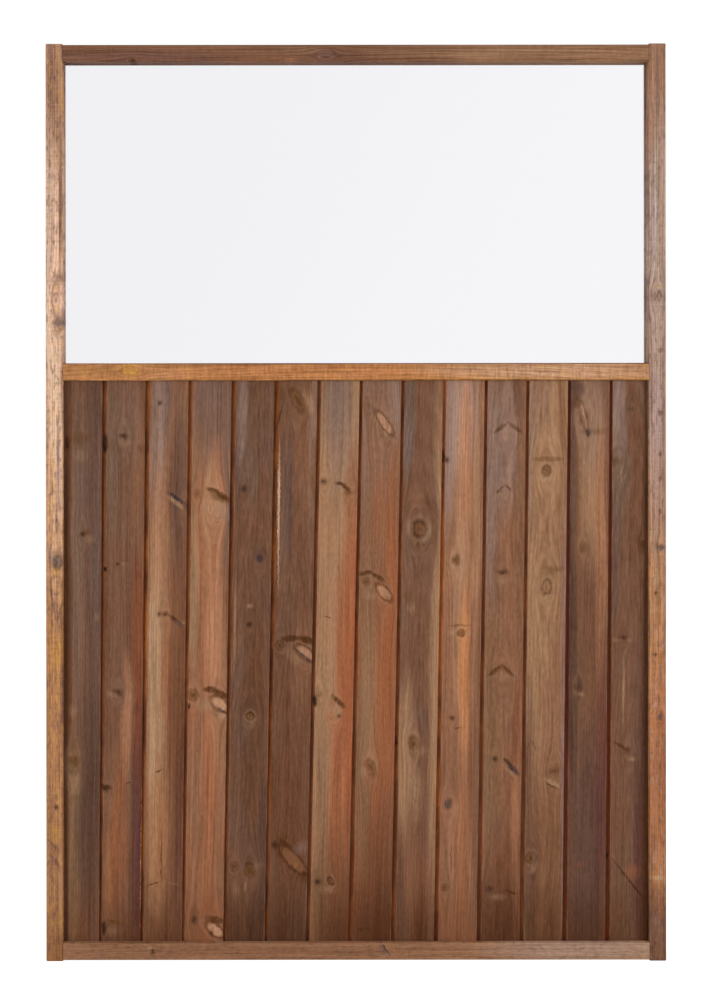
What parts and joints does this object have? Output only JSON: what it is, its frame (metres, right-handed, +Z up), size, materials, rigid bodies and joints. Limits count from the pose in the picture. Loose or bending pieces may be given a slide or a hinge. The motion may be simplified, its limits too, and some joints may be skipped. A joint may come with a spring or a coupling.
{
  "type": "privacy fence panel",
  "caption": "Upright timber-framed privacy fence panel with tongue-and-groove boards below the middle rail and a clear pane above it.",
  "frame": {"origin": "middle of the panel's width and depth, level with the feet of the stiles", "axes": "+X along the fence to the right as seen from the front, -Y out of the front face, +Z up"},
  "size_m": [1.2, 0.045, 1.775],
  "materials": {
    "frame_timber": "stained pressure-treated pine, planed, matt",
    "board_timber": "brown stained pressure-treated pine, planed, matt",
    "pane": "clear float glass, polished",
    "screws": "stainless, countersunk"
  },
  "bodies": {
    "root": {"stile_left": "frame_timber", "stile_right": "frame_timber", "rail_bottom": "frame_timber", "rail_middle": "frame_timber", "rail_top": "frame_timber", "board_01": "board_timber", "board_02": "board_timber", "board_03": "board_timber", "board_04": "board_timber", "board_05": "board_timber", "board_06": "board_timber", "board_07": "board_timber", "board_08": "board_timber", "board_09": "board_timber", "board_10": "board_timber", "board_11": "board_timber", "board_12": "board_timber", "board_13": "board_timber", "board_14": "board_timber", "pane": "pane", "screws_left": "screws", "screws_right": "screws"}
  },
  "joints": []
}
